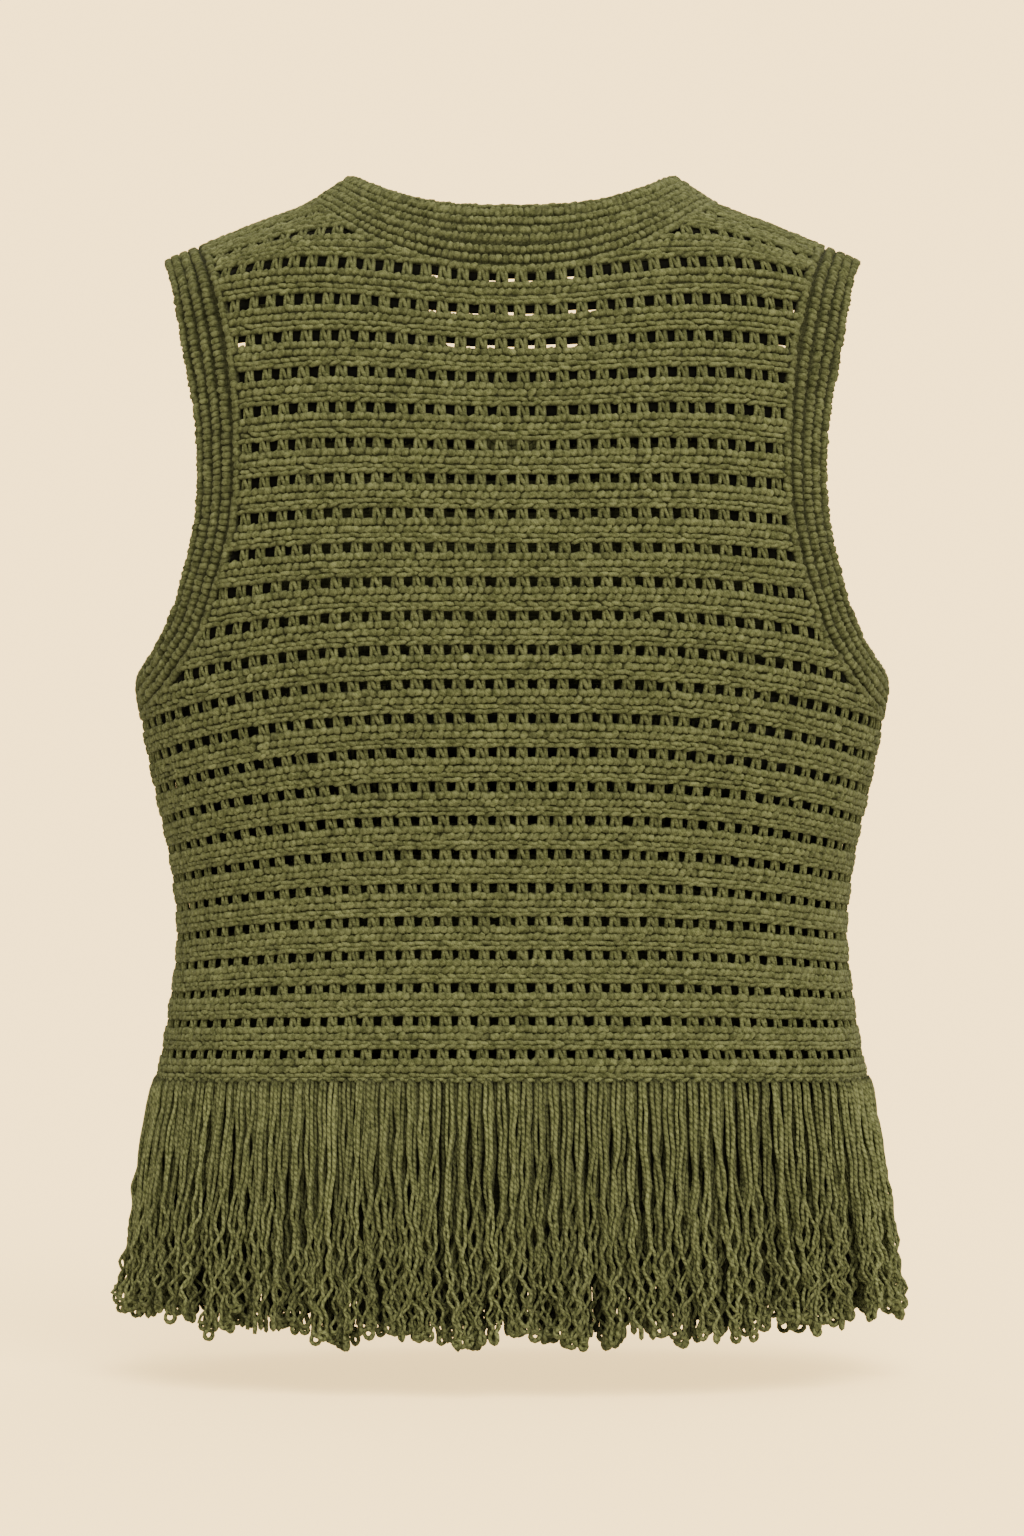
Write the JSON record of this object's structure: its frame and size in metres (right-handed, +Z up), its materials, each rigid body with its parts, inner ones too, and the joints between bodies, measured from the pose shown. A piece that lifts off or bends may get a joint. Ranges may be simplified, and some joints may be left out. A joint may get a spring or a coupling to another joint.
{
  "type": "sleeveless crochet top with fringed hem",
  "caption": "Hollow sleeveless crochet top, worn shape, with ribbed neck and armhole bands and a long yarn fringe at the hem.",
  "frame": {"origin": "between the shoulders at mid shoulder height, where the wearer's shoulders hold the top up", "axes": "+Z up, the back faces -Y and the front +Y, +X to the right as seen from the back"},
  "size_m": [0.3957, 0.2403, 0.5738],
  "materials": {
    "openwork_yarn": "matt heathered olive cotton crochet",
    "band_yarn": "matt heathered olive cotton crochet, ribbed",
    "fringe_yarn": "matt olive cotton yarn, two plies twisted"
  },
  "bodies": {
    "root": {"back_panel": "openwork_yarn", "front_panel": "openwork_yarn", "neck_band": "band_yarn", "armhole_band_left": "band_yarn", "armhole_band_right": "band_yarn", "fringe_back": "fringe_yarn", "fringe_front": "fringe_yarn"}
  },
  "joints": []
}
